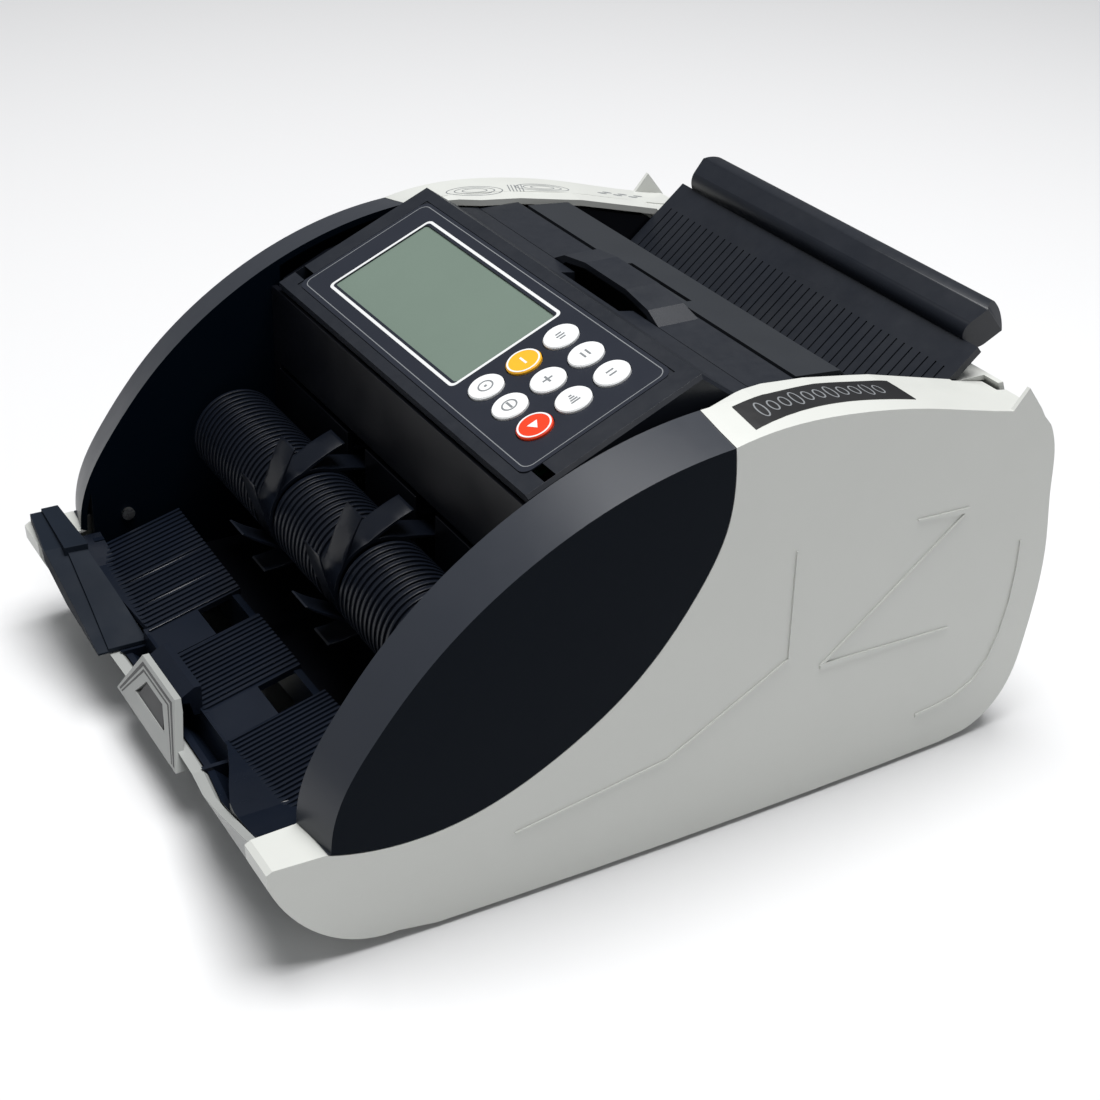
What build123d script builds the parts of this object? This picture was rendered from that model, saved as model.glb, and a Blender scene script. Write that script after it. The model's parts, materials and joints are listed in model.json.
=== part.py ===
from build123d import *
import math
import os

# Banknote counting machine.  Millimetres, +Z up, front (stacker) faces -Y,
# origin on the plane of the feet, below the middle of the body.

# ---------------------------------------------------------------- driving sizes
HALF_W = 125.0        # half of the overall width
SKIN = 2.5            # moulded wall thickness
RIDGE = 0.6           # raised decoration on the side covers
GAP = 0.3             # gap between neighbouring parts
BOW = 3700.0          # plan radius of the slightly convex side faces
BAND_IN = 104.0       # inner face of the front wings
BAND_RISE = 4.5       # how far the inner edge of a wing stands above its outer edge
BASE_Z = 4.0          # underside of the base housing above the feet plane
SHELL_Z = 2.3         # lower edge of the side covers
FOOT_H = 5.0          # rubber foot height

STACK_Y, STACK_Z = -72.0, 78.0     # stacker shaft
WHEEL_R = 29.0
WHEEL_W = 12.0
WHEEL_X = 28.0
DRUM_R = 18.0
SHAFT_R = 3.0
SHAFT_FIT = 0.05
SHAFT_END = 117.0

TRANS_Y, TRANS_Z = 18.0, 76.0      # transport shaft
ROLLER_R = 14.0
FEED_Y, FEED_Z = 78.6, 87.5
FEED_R = 12.0
PICK_Y, PICK_Z = 94.7, 105.6
PICK_R = 10.0
ROLLER_X = 30.0                    # roller centres left and right of the middle
ROLLER_W = 18.0

MOTOR_Y, MOTOR_Z = 5.0, 36.0
MOTOR_R = 18.0
PLATE_X = 107.0                    # inner face of a steel side plate
PLATE_T = 1.5
BELT_X = 113.2                     # middle plane of both belts
BELT_W = 4.0
BELT_T = 1.0
PULLEY_R = {"motor": 7.0, "stacker": 21.0, "line": 9.0}

PANEL_Y, PANEL_Z = -47.6, 140.0    # lower edge of the control panel film
PANEL_TILT = 24.2
FILM_W, FILM_H = 174.4, 60.7
BOX_HALF = 97.3
KEY_D = 13.0
KEY_PITCH_X = 16.4
KEY_PITCH_S = 15.85
KEY_FIRST = (37.3, 47.0)           # upper left key: X and distance up the slope
KEY_TRAVEL = 0.8
LCD_W, LCD_H = 98.8, 44.4
LCD_C = (-24.0, 31.1)

PAD_TILT = 15.0                    # stacker pads rise to the rear
PLATE_SLOPE = 41.0                 # hopper plate angle above horizontal
PLATE_TOP = (134.4, 151.4)         # hopper plate, foot of its lip (Y, Z)
GROOVE_PITCH = 4.4
COVER_Y0, COVER_Y1 = 36.1, 55.4    # hinged top cover, front and rear edge
COVER_AXIS = (53.2, 152.9)

CHAMBER_BACK = -52.0               # front face of the stacker chamber's rear wall
PAD_Y, PAD_Z = -133.5, 33.0        # front edge of the stacker pads
PAD_L = 37.5
RIB_PITCH = 2.6
RIB_W = 1.1
VANES = 9
RIM_R = 18.0                       # rim that the vanes leave tangentially
VANE_ARC = [(119, RIM_R - 0.7), (94, 19.6), (78, 23.4), (64, WHEEL_R)]   # angle from +Y and radius
CHAMBER_SCREW = (-117.0, 48.0)

REAR_IN = 147.5                    # inner face of the rear panel
REAR_OUT = REAR_IN + SKIN
INLET = (70.0, 36.0)               # mains inlet centre (X, Z)
SWITCH = (36.0, 36.0)              # power switch centre (X, Z)
ROCKER_Y = REAR_OUT - 2.6          # rocker pin
ROCKER_TILT = 8.0

FOOT_X, FOOT_Y = 88.0, (-85.0, 120.0)
RETARD_Y, RETARD_Z = 64.9, 103.4   # fixed retard rollers
TIE_RODS = [(-40, 30), (108, 24), (10, 114)]

# ---------------------------------------------------------------- helpers
def box(x0, x1, y0, y1, z0, z1):
    size = Box(x1 - x0, y1 - y0, z1 - z0)
    return Pos((x0 + x1) / 2, (y0 + y1) / 2, (z0 + z1) / 2) * size


def rod(x0, x1, y, z, r):
    """Cylinder lying along X."""
    return Pos((x0 + x1) / 2, y, z) * Rot(0, 90, 0) * Cylinder(r, x1 - x0)


def tube(x0, x1, y, z, r_out, r_in):
    return rod(x0, x1, y, z, r_out) - rod(x0 - 1, x1 + 1, y, z, r_in)


def prism(points, x0, x1):
    """Straight-sided YZ outline swept from x0 to x1."""
    wire = Polyline(*[(x0, y, z) for y, z in points], close=True)
    return extrude(make_face(wire), amount=x1 - x0, dir=(1, 0, 0))


def prism_xz(points, y0, y1):
    wire = Polyline(*[(x, y0, z) for x, z in points], close=True)
    return extrude(make_face(wire), amount=y1 - y0, dir=(0, 1, 0))


def prism_xy(points, z0, z1):
    wire = Polyline(*[(x, y, z0) for x, y in points], close=True)
    return extrude(make_face(wire), amount=z1 - z0, dir=(0, 0, 1))


def mirrored(shape):
    return mirror(shape, about=Plane.YZ)


def on_panel(shape):
    """Put a shape drawn flat (X, up the slope, outward) onto the panel plane."""
    return Pos(0, PANEL_Y, PANEL_Z) * Rot(PANEL_TILT, 0, 0) * shape


def along_plate(distance, lift):
    """Point at a distance down the hopper plate from its lip, lifted off its face."""
    a = math.radians(PLATE_SLOPE)
    y = PLATE_TOP[0] - distance * math.cos(a) - lift * math.sin(a)
    z = PLATE_TOP[1] - distance * math.sin(a) + lift * math.cos(a)
    return y, z


def on_plate(shape):
    """Put a shape drawn flat (X, up the slope, outward) onto the hopper plate."""
    return Pos(0, *PLATE_TOP) * Rot(PLATE_SLOPE, 0, 0) * shape


def plate_prism(d0, d1, l0, l1, x0, x1):
    """Slab lying on the hopper plate: d down the slope, l off the face."""
    corners = [(d0, l0), (d1, l0), (d1, l1), (d0, l1)]
    return prism([along_plate(d, lift) for d, lift in corners], x0, x1)


# ---------------------------------------------------------------- outer shell
WING_ARC = [(-132, 44), (-128.5, 62), (-117, 81.5), (-98, 104.5), (-76.8, 122.6),
            (-51, 138), (-28.5, 147), (7, 154)]
TOP_LINE = [(7, 154), (28, 157), (55, 155.8), (84, 151), (125, 140.6), (141.5, 137.4)]
TOP_RISE = [BAND_RISE, 2.0, 0.6, 0.4, 0.4, 0.2]
REAR_LINE = [(148.5, 130), (152.9, 119), (154.8, 102), (157.9, 80), (158.3, 60), (155.8, 38), (150, 17.5),
             (141, 7.8), (130, 3.4)]
FRONT_LINE = [(-110, 4.4), (-131.8, 9.8), (-145.4, 22.3), (-153.7, 37.5)]
FIN = [(127.5, 139.2), (134.3, 147.4), (142, 138), (146, 132), (128, 132)]
SEAM = [(-132.5, 43.6), (-110, 39.8), (-87.4, 41.6), (-52.6, 55.4), (-23.3, 76.7),
        (-3, 102.8), (7, 125), (8.5, 140), (7, 156)]


def pushed(points, rises):
    """Move each point of an open line outward (to its left) by its own distance."""
    moved = []
    for i, (y, z) in enumerate(points):
        y0, z0 = points[max(i - 1, 0)]
        y1, z1 = points[min(i + 1, len(points) - 1)]
        run = math.hypot(y1 - y0, z1 - z0)
        moved.append((y - (z1 - z0) / run * rises[i], z + (y1 - y0) / run * rises[i]))
    return moved


def at_x(x, points):
    return [(x, y, z) for y, z in points]


def side_wire(x, inset, rise):
    """Closed side outline at X, pulled in by inset, its upper edge lifted by rise (0 to 1)."""
    arc = pushed(WING_ARC, [BAND_RISE * rise - inset] * len(WING_ARC))
    top = pushed(TOP_LINE, [r * rise - inset for r in TOP_RISE])
    joint = ((arc[-1][0] + top[0][0]) / 2, (arc[-1][1] + top[0][1]) / 2)
    arc[-1] = joint
    top[0] = joint
    rear = [(y - inset, z + inset * 0.4) for y, z in REAR_LINE]
    front = [(y + inset * 0.8, z + inset * 0.6) for y, z in FRONT_LINE]
    lip = [(-154 + inset, 43 - inset), (-152 + inset, 44.2 - inset)]
    bottom = [rear[-1], (118, SHELL_Z + inset), (-96, SHELL_Z + inset), front[0]]
    corner = [front[-1], lip[0], lip[1], arc[0]]
    curves = [Spline(*at_x(x, line)) for line in (arc, top, rear, front)]
    straight = [Line(*at_x(x, [top[-1], rear[0]]))]
    for line in (bottom, corner):
        straight += [Line(*at_x(x, pair)) for pair in zip(line, line[1:])]
    return Wire(curves + straight)


def bowed_body(inset):
    """Everything inside the slightly convex side face."""
    return Pos(HALF_W - RIDGE - inset - BOW, 0, 80) * Cylinder(BOW, 400)


def side_block(x_in, x_out, inset):
    """Full right-hand side body between two X planes, cut to the bowed side face."""
    block = Solid.make_loft([side_wire(x_in, inset, 1.0), side_wire(x_out, inset, 0.0)], True)
    return block & bowed_body(inset)


def side_shell():
    return side_block(BAND_IN, HALF_W, 0) - side_block(BAND_IN - 1, HALF_W + 1, SKIN)


def wing_region(grow):
    """Area of the side covered by the front wing."""
    seam = pushed(SEAM, [-grow] * len(SEAM))
    edge = Spline(*[(90, y, z) for y, z in seam])
    (y0, z0), (y1, z1) = seam[0], seam[-1]
    around = Polyline((90, y1, z1), (90, y1, 190), (90, -150, 190), (90, -150, 52), (90, y0, z0))
    return extrude(make_face(Wire([edge] + list(around.edges()))), amount=60, dir=(1, 0, 0))


def wing(shell):
    chamber_wall = prism([(-131, 26), (-48, 26), (-48, 175), (-131, 175)], BAND_IN, BAND_IN + SKIN)
    part = shell & wing_region(0)
    part += chamber_wall & side_block(BAND_IN - 1, HALF_W + 1, 0.05)
    part -= rod(BAND_IN - 1, BAND_IN + 4, STACK_Y, STACK_Z, 8.0)
    part -= rod(BAND_IN - 1, BAND_IN + 4, *CHAMBER_SCREW, 1.6)
    return part


RIDGES = [   # raised lines on the side face: start width, end width and (Y, Z) points
    (0.5, 1.3, [(37, 109), (39, 65.5)]),
    (1.3, 0.6, [(39, 65.5), (-9, 39.5), (-68, 29.5)]),
    (0.5, 2.2, [(89.8, 107), (114, 104.8)]),
    (1.0, 1.0, [(114, 104.8), (53.5, 58)]),
    (2.2, 0.5, [(53.5, 58), (113, 56)]),
    (0.6, 1.4, [(143.5, 84), (144.1, 72), (143.4, 58), (141.0, 45), (137.2, 34.5), (131.0, 26.5),
                (122.0, 22.2), (112.5, 20.6), (103.7, 19.9)]),
]


def ridge(start, end, points):
    """Tapered raised line across the side face."""
    widths = [start + (end - start) * i / (len(points) - 1) for i in range(len(points))]
    above = pushed(points, [w / 2 for w in widths])
    below = pushed(points, [-w / 2 for w in widths])
    return prism(above + below[::-1], HALF_W - 5, HALF_W + 3) & bowed_body(-RIDGE)


def cover_inner_edge():
    """Plan outline of the cover top: the inner edge runs inward behind the wings."""
    return prism_xy([(BAND_IN + 1.5, 6), (99, 24), (95.7, 37), (94.6, 75), (94.6, 138.6), (101, 138.6),
                     (101, 165), (130, 165), (130, -160), (BAND_IN + 1, -160)], 0, 200)


def side_cover(shell):
    part = shell - wing_region(GAP)
    inner_top = pushed(TOP_LINE, TOP_RISE)
    shelf_line = inner_top[:-2] + [(122.5, 141.6)]
    lower = [(y, z - SKIN) for y, z in reversed(shelf_line)]
    part += prism(shelf_line + lower, 93, BAND_IN + 0.5) & cover_inner_edge()
    part += prism([(116, 142.6), (138.6, 137.4), (138.6, 135.6), (116, 140.6)], 94.6, BAND_IN + 1.5)
    part += prism(FIN, 120.5, HALF_W + 2) & bowed_body(0)
    part -= prism([(-30, 170), (-30, 148), (7.3, 148), (7.3, 170)], 90, HALF_W + 1)
    for start, end, points in RIDGES:
        part += ridge(start, end, points) & shell_outside()
    return part


def shell_outside():
    """Everything outside the bowed side face."""
    return box(100, HALF_W + 5, -160, 165, 0, 180) - bowed_body(0.4)


# ---------------------------------------------------------------- base and front
APRON_TOP = [(104, 44), (100, 42.5), (72, 33), (41, 26.3), (26, 25.3)]
NOSE = [(30, 19.5), (16, 40), (-16, 40), (-30, 19.5)]
NOSE_WINDOW = [(15, 26.2), (8, 33.8), (-8, 33.8), (-15, 26.2)]


def apron():
    profile = [(-60, BASE_Z), (-96, BASE_Z), (-112, 6), (-132, 11), (-144, 21), (-150.5, 30), (-153, 44),
               (-150, 44), (-147.6, 31), (-141.5, 23.5), (-131, 13.8), (-111, 8.6), (-96, 6.5), (-60, 6.5)]
    sheet = prism(profile, -BAND_IN, BAND_IN)
    edge = APRON_TOP + [(-x, z) for x, z in reversed(APRON_TOP)]
    above = prism_xz(edge + [(-110, 44), (-110, 60), (110, 60), (110, 44)], -160, -120)
    sheet -= above
    nose_profile = [(-149.8, 19.5), (-143.6, 40), (-141.2, 40), (-141.8, 36), (-145.8, 23), (-142.6, 19.5)]
    nose = prism(nose_profile, -35, 35) & prism_xz(NOSE, -155, -135)
    return sheet + (nose - prism_xz(NOSE_WINDOW, -160, -120))


def base_housing():
    tub = apron()
    tub += box(-BAND_IN, BAND_IN, -62, REAR_IN - SKIN, BASE_Z, BASE_Z + SKIN)
    tub += box(-BAND_IN, BAND_IN, REAR_IN - 2 * SKIN, REAR_IN - SKIN, BASE_Z, 12)
    for x in (-FOOT_X, FOOT_X):
        for y in FOOT_Y:
            tub -= Pos(x, y, BASE_Z) * Cylinder(3.2, 12)
    return tub


def foot(x, y):
    pad = Pos(x, y, (FOOT_H - 1.2) / 2) * Cylinder(8.0, FOOT_H - 1.2)
    stem = Pos(x, y, 4.5) * Cylinder(3.0, 6.5)
    return pad + stem


def feet():
    return [foot(x, y) for x in (-FOOT_X, FOOT_X) for y in FOOT_Y]


# ---------------------------------------------------------------- stacker tray
def ribbed_pad(x0, x1, tilt_out):
    """Pad with front-to-back ribs, tilted up to the rear about its front edge."""
    width = x1 - x0
    middle = (x0 + x1) / 2
    slab = box(x0, x1, 0, PAD_L, -2.5, 0)
    count = int(width // RIB_PITCH)
    start = x0 + (width - (count - 1) * RIB_PITCH) / 2
    for i in range(count):
        x = start + i * RIB_PITCH
        slab += box(x - RIB_W / 2, x + RIB_W / 2, 0, PAD_L, -0.1, 0.8)
    roll = -tilt_out * math.copysign(5.5, middle)
    return Pos(middle, PAD_Y, PAD_Z + tilt_out * 3.0) * Rot(PAD_TILT, roll, 0) * Pos(-middle, 0, 0) * slab


def tray_floor():
    """Smooth strip in front of the pads; its front edge curves forward to the corners."""
    plan = [(0, -134.5), (19.5, -134.5), (41, -134.5), (54, -139), (66, -144), (75.5, -147.5), (86, -149.2),
            (103.6, -149.5), (103.6, -129), (0, -129)]
    ring = plan + [(-x, y) for x, y in reversed(plan[:-1])]
    strip = prism_xy(ring, 18, 60)
    roof = [(0, 33.3), (38, 33.3), (60, 36), (85, 38.5), (103.6, 42.6)]
    under = [(x, z - 2.2) for x, z in reversed(roof)]
    skin = roof + [(103.6, 40.4)] + under[1:]
    half = prism_xz(skin, -160, -120)
    wall = strip - prism_xy([(x * 0.975, y + 2.2) for x, y in ring], 0, 100)
    cap = strip & (half + mirrored(half))
    skirt = wall - prism_xz(roof + [(103.6, 80), (0, 80)], -160, -120)
    skirt -= prism_xz([(-x, z) for x, z in roof] + [(-103.6, 80), (0, 80)], -160, -120)
    return cap + (skirt & box(-103.6, 103.6, -160, -131.5, 20, 60))


def tray_lining():
    """Dark well between the smooth strip and the inside of the apron."""
    profile = [(-148.9, 44), (-146.8, 31), (-140.8, 23.9), (-130.5, 14.2), (-130.5, 16.2), (-139.8, 25.6),
               (-145.2, 32), (-147.2, 44)]
    rim = [(104, 43.4), (100, 41.9), (72, 32.4), (41, 25.7), (0, 24.7)]
    edge = rim + [(-x, z) for x, z in reversed(rim[:-1])]
    above = prism_xz(edge + [(-104, 60), (104, 60)], -160, -120)
    return prism(profile, -103.6, 103.6) - above


def stacker_tray():
    tray = tray_floor() + tray_lining()
    tray += ribbed_pad(-19.2, 19.2, 0)
    for x0, x1 in ((38, 98), (-98, -38)):
        tray += ribbed_pad(x0, x1, 1)
    ledge = prism([(-141.0, 39.6), (-136, 42.6), (-133.4, 42.6), (-133.4, 31), (-136.6, 31), (-138, 36.5),
                   (-141.0, 37.2)], -15.6, 15.6)
    tray += ledge
    tray += box(-19.2, 19.2, -134.0, -128, 31.0, 33.4)
    for side in (-1, 1):
        x0, x1 = side * 28.8 - 9.4, side * 28.8 + 9.4
        tray += box(x0, x1, -134, -114, 31.2, 33.4)
        tray += prism([(-134, 33.2), (-114, 38.4), (-114, 36), (-134, 30.8)], x0, x1)
        tray += box(side * 41 - 0.9, side * 41 + 0.9, -146.4, -132.5, 20, 27.2)
        tray += box(side * 101 - 2.6, side * 101 + 2.6, -133, -129, 30, 42)
    tray += box(-103.6, 103.6, -100, -97.2, 26.8, 40.8)
    apron_inside = prism([(-149.6, 60), (-149.6, 44), (-147.2, 31), (-141.1, 23.5), (-130.6, 13.8),
                          (-130.6, 0), (-170, 0), (-170, 60)], -110, 110)
    nose_inside = prism([(-140.9, 41), (-140.9, 39.5), (-141.5, 36), (-145.5, 23), (-170, 23), (-170, 41)],
                        -31, 31)
    return tray - apron_inside - nose_inside


STOP_TOP = [(-92, 48.4), (-89, 47.6), (-64, 38.4), (-41, 28.6)]     # sloping top of the stop plate (X, Z)
HEM_TOP = [(-121, 48.0), (-91, 47.2), (-64, 37.2), (-41, 27.6)]
STOP_RIM = [(-122, 44.7), (-97, 44.7), (-92, 42.0), (-72, 33.7), (-41, 26.9)]   # clear of the apron edge
STOP_PLAN = [(-90, -140.2), (-41.6, -133.2), (-41.6, -148.3), (-90, -147.2)]
STOP_HEM = [(-120.5, -146.0), (-41.6, -148.0), (-41.6, -152.4), (-92, -155.2), (-120.5, -151.6)]
EAR = [(-120.5, -140.2), (-86, -139.4), (-86.5, -148.6), (-120.5, -147.0)]


def under_line(line):
    """Solid below a falling XZ line."""
    return prism_xz(line + [(line[-1][0], 10), (line[0][0], 10)], -160, -120)


def stop_space():
    """Room that the stop plate needs in the tray, with a gap round it."""
    g = 0.35
    plan = [(-90, -140.2 + g), (-41.6 + g, -133.2 + g), (-41.6 + g, -155), (-90, -155)]
    return prism_xy(plan, 24, 60)


def stop_plate():
    """Raised stop at the left corner of the tray: sloping face, lower hem and a flat outer ear."""
    part = prism_xy(STOP_PLAN, 24, 60) & under_line(STOP_TOP)
    part += prism_xy(STOP_HEM, 24, 60) & under_line(HEM_TOP)
    part -= under_line(STOP_RIM)
    return part + prism_xy(EAR, 44.7, 49.2)


# ---------------------------------------------------------------- stacking wheels and guides
def on_circle(angle, radius):
    """Point on the wheel face; the angle runs from +Y towards +Z once the wheel stands upright."""
    turn = math.radians(angle)
    return -radius * math.sin(turn), radius * math.cos(turn)


def vane():
    """One blade of a stacking wheel, trailing from the rim to its thin tip."""
    thick = [0.8, 1.4, 1.2, 0.8]
    outer = [on_circle(a, r) for a, r in VANE_ARC]
    inner = [on_circle(a, r - t) for (a, r), t in zip(VANE_ARC, thick)]
    outline = Wire([Spline(*outer), Line(outer[-1], inner[-1]), Spline(*inner), Line(inner[0], outer[0])])
    return extrude(make_face(outline), amount=WHEEL_W / 2, both=True)


def stacking_wheel(x):
    hub = Cylinder(10.0, WHEEL_W) - Cylinder(SHAFT_R + SHAFT_FIT, WHEEL_W + 2)
    web = Cylinder(RIM_R - 0.5, 2.0) - Cylinder(SHAFT_R + SHAFT_FIT, 4)
    rim = Cylinder(RIM_R, WHEEL_W) - Cylinder(RIM_R - 1.4, WHEEL_W + 2)
    wheel = hub + web + rim
    blade = vane()
    for i in range(VANES):
        wheel += Rot(0, 0, 360 / VANES * i) * blade
    return Pos(x, STACK_Y, STACK_Z) * Rot(0, 90, 0) * wheel


def drum(x0, x1):
    """Fixed ribbed guide around the stacker shaft."""
    part = rod(x0, x1, STACK_Y, STACK_Z, DRUM_R - 1.0)
    count = int((x1 - x0) // 3.2)
    start = x0 + ((x1 - x0) - (count - 1) * 3.2) / 2
    for i in range(count):
        x = start + i * 3.2
        part += rod(x - 0.8, x + 0.8, STACK_Y, STACK_Z, DRUM_R)
    part -= rod(x0 - 1, x1 + 1, STACK_Y, STACK_Z, DRUM_R - 3.5)
    part += rod(x0, x0 + 2, STACK_Y, STACK_Z, DRUM_R - 3) + rod(x1 - 2, x1, STACK_Y, STACK_Z, DRUM_R - 3)
    part -= rod(x0 - 1, x1 + 1, STACK_Y, STACK_Z, SHAFT_R + 1.0)
    return part - box(x0 - 1, x1 + 1, CHAMBER_BACK - 0.2, 0, 0, 200)


def chamber_back():
    """Rear wall of the stacker chamber with slots for the wheels and the notes."""
    wall = box(-103.6, 103.6, CHAMBER_BACK, CHAMBER_BACK + 2.5, 24, 134)
    wall += box(-103.6, 103.6, -97, CHAMBER_BACK + 2.5, 24, 26.5)
    for side in (-1, 1):
        x = side * WHEEL_X
        wall -= box(x - 7.5, x + 7.5, -60, -40, STACK_Z - 24, STACK_Z + 24)
    wall -= box(-98, 98, -60, -40, 100.5, 103)
    return wall


def roller_pair(y, z, r, r_in):
    return [tube(x - ROLLER_W / 2, x + ROLLER_W / 2, y, z, r, r_in) for x in (-ROLLER_X, ROLLER_X)]


def bearing(side, y, z):
    x0 = side * (PLATE_X + PLATE_T / 2)
    ring = tube(x0 - 2, x0 + 2, y, z, 7.0, SHAFT_R + SHAFT_FIT)
    return ring


SHAFTS = {"stacker": (STACK_Y, STACK_Z), "transport": (TRANS_Y, TRANS_Z),
          "feed": (FEED_Y, FEED_Z), "pickup": (PICK_Y, PICK_Z)}


def bearings():
    return [bearing(side, y, z) for side in (-1, 1) for y, z in SHAFTS.values()]


def side_plate(side):
    outline = [(-84, 60), (-84, 92), (-62, 104), (-30, 118), (0, 126), (121, 126), (121, 10), (-44, 10),
               (-60, 40)]
    x0 = side * PLATE_X if side > 0 else -PLATE_X - PLATE_T
    plate = prism(outline, x0, x0 + PLATE_T)
    for y, z in SHAFTS.values():
        plate -= rod(x0 - 1, x0 + PLATE_T + 1, y, z, 7.0)
    plate -= rod(x0 - 1, x0 + PLATE_T + 1, MOTOR_Y, MOTOR_Z, 8.5)
    for y, z in TIE_RODS:
        plate -= rod(x0 - 1, x0 + PLATE_T + 1, y, z, 2.1)
    return plate


def tie_rods():
    rods = []
    for y, z in TIE_RODS:
        rods.append(rod(-PLATE_X, PLATE_X, y, z, 4.0) + rod(-PLATE_X - 5, PLATE_X + 5, y, z, 2.0))
    return rods


def pulley(side, y, z, r, bore=SHAFT_R + SHAFT_FIT):
    x = side * BELT_X
    half = BELT_W / 2
    wheel = rod(x - half, x + half, y, z, r)
    wheel += rod(x - half - 0.9, x - half, y, z, r + 1.8) + rod(x + half, x + half + 0.9, y, z, r + 1.8)
    return wheel - rod(x - 6, x + 6, y, z, bore)


def belt(side, circles):
    """Belt around round pulleys: hull of the pulley circles."""
    x = side * BELT_X
    outer = hull_solid(circles, x, 0.1 + BELT_T)
    inner = hull_solid(circles, x, 0.1)
    return outer - inner


def hull_solid(circles, x, grow):
    """Convex outline around pulley circles given counter-clockwise."""
    rounds = [rod(x - BELT_W / 2 + 0.2, x + BELT_W / 2 - 0.2, y, z, r + grow) for y, z, r in circles]
    tangents = []
    for i, (y0, z0, r0) in enumerate(circles):
        y1, z1, r1 = circles[(i + 1) % len(circles)]
        base = math.atan2(z1 - z0, y1 - y0)
        turn = math.acos((r0 - r1) / math.hypot(y1 - y0, z1 - z0))
        a = base - turn
        tangents.append((y0 + (r0 + grow) * math.cos(a), z0 + (r0 + grow) * math.sin(a)))
        tangents.append((y1 + (r1 + grow) * math.cos(a), z1 + (r1 + grow) * math.sin(a)))
    body = prism(tangents, x - BELT_W / 2 + 0.2, x + BELT_W / 2 - 0.2)
    for disc in rounds:
        body += disc
    return body


MAIN_BELT = [(STACK_Y, STACK_Z, PULLEY_R["stacker"]), (MOTOR_Y, MOTOR_Z, PULLEY_R["motor"]),
             (TRANS_Y, TRANS_Z, PULLEY_R["line"])]
LINE_BELT = [(TRANS_Y, TRANS_Z, 9.0), (FEED_Y, FEED_Z, 9.0), (PICK_Y, PICK_Z, 9.0)]


def motor_pulley():
    """Drive pulley pressed solid with the motor shaft."""
    return pulley(-1, MOTOR_Y, MOTOR_Z, PULLEY_R["motor"], 1.0) + rod(-117, -61, MOTOR_Y, MOTOR_Z, SHAFT_R)


def motor():
    can = rod(-98, -44, MOTOR_Y, MOTOR_Z, MOTOR_R)
    can += rod(-103, -98, MOTOR_Y, MOTOR_Z, 12.0)
    can += rod(-PLATE_X, -103, MOTOR_Y, MOTOR_Z, 8.0)
    return can - rod(-PLATE_X - 1, -60, MOTOR_Y, MOTOR_Z, SHAFT_R + SHAFT_FIT)


# ---------------------------------------------------------------- note path
def lower_guide():
    """Plate that carries the notes from the feed rollers to the stacking wheels."""
    plate = prism([(-49.2, 87.6), (54, 87.6), (66, 89.8), (66, 91.4), (53.6, 89.2), (-49.2, 89.2)], -96, 96)
    for x in (-ROLLER_X, ROLLER_X):
        plate -= box(x - ROLLER_W / 2 - 1, x + ROLLER_W / 2 + 1, TRANS_Y - 9, TRANS_Y + 9, 80, 95)
    return wheel_relief(plate)


def wheel_relief(plate):
    """Cut the guide edge back where the stacking wheels pass."""
    for x in (-WHEEL_X, WHEEL_X):
        plate -= box(x - 7.5, x + 7.5, -60, -41, 80, 110)
    return plate


def upper_guide():
    plate = prism([(-49.2, 92.4), (48, 92.4), (54, 94.4), (54, 96.0), (47.6, 94.0), (-49.2, 94.0)], -96, 96)
    plate += box(-96, -94.5, -40, 40, 94, 100) + box(94.5, 96, -40, 40, 94, 100)
    return wheel_relief(plate)


def retard_bracket():
    bar = box(-60, 60, 60, 63, 114, 128)
    for side in (-1, 1):
        x = side * ROLLER_X
        for dx in (-11, 9):
            bar += box(x + dx, x + dx + 2, 61, 71, 99.5, 120)
            bar -= rod(x + dx - 1, x + dx + 3, RETARD_Y, RETARD_Z, 2.05)
    return bar


def retard_rollers():
    parts = []
    for side in (-1, 1):
        x = side * ROLLER_X
        pin = rod(x - 10.9, x + 10.9, RETARD_Y, RETARD_Z, 2.0)
        parts.append(rod(x - 8.5, x + 8.5, RETARD_Y, RETARD_Z, 8.6) + pin)
    return parts


def encoder_disc():
    disc = tube(88, 89, TRANS_Y, TRANS_Z, 10.5, SHAFT_R + SHAFT_FIT)
    for i in range(12):
        a = math.radians(30 * i)
        disc -= rod(87, 90, TRANS_Y + 8.2 * math.cos(a), TRANS_Z + 8.2 * math.sin(a), 1.2)
    return disc


def encoder_sensor():
    y = TRANS_Y
    fork = box(84, 93, y - 6, y + 6, 58, 70)
    fork -= box(87.2, 89.8, y - 7, y + 7, 62, 71)
    fork += box(84, 93, y - 4, y + 4, BASE_Z + SKIN, 58)
    return fork


# ---------------------------------------------------------------- control panel
def key_centres():
    x0, s0 = KEY_FIRST
    return [(x0 + col * KEY_PITCH_X, s0 - row * KEY_PITCH_S) for row in range(3) for col in range(3)]


def display_block(grow, z0, z1):
    """Block over the display area, grown on all sides, between two depths from the panel face."""
    half_w, half_h = LCD_W / 2 + grow, LCD_H / 2 + grow
    x, s = LCD_C
    return on_panel(box(x - half_w, x + half_w, s - half_h, s + half_h, z0, z1))


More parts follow.
